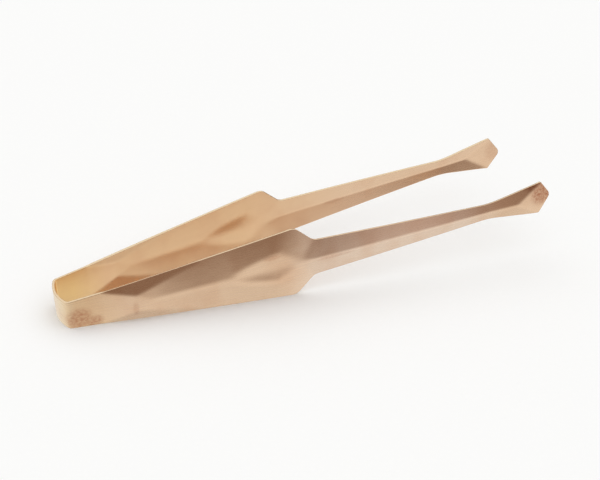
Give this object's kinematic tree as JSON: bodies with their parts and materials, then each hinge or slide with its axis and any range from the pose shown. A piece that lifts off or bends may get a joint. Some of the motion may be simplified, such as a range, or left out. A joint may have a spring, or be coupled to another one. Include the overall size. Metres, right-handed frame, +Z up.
{
  "type": "charcoal tongs",
  "caption": "Copper-coloured sheet-metal charcoal tongs: a springy bow at the back, two pressed arms with thumb hollows and spade tips.",
  "frame": {"origin": "on the ground plane under the centre of the tongs' box, lying on the bow's lower edge and the two lower shoulder corners", "axes": "+X along the tongs from the bow to the tips, +Y across the opening towards the left arm, +Z up from the surface that they lie on"},
  "size_m": [0.2186, 0.0448, 0.0367],
  "materials": {
    "copper_plated_steel": "satin copper-coloured plating, finely brushed"
  },
  "bodies": {
    "spring_bow": {"spring_bow": "copper_plated_steel"},
    "left_arm": {"left_arm": "copper_plated_steel"},
    "right_arm": {"right_arm": "copper_plated_steel"}
  },
  "joints": [
    {"name": "right_arm_squeeze", "type": "hinge", "parent": "spring_bow", "child": "right_arm", "pos_m": [-0.09219, -0.01011, 0.00783], "axis": [-0.1067, 0, 0.9943], "range_deg": [0, 5.85], "stiffness_Nm_per_rad": 6},
    {"name": "left_arm_squeeze", "type": "hinge", "parent": "spring_bow", "child": "left_arm", "pos_m": [-0.09219, 0.01011, 0.00783], "axis": [-0.1067, 0, 0.9943], "range_deg": [-5.85, 0], "stiffness_Nm_per_rad": 6}
  ],
  "couplings": [
    {"joint": "left_arm_squeeze", "follows": "right_arm_squeeze", "ratio": -1}
  ]
}
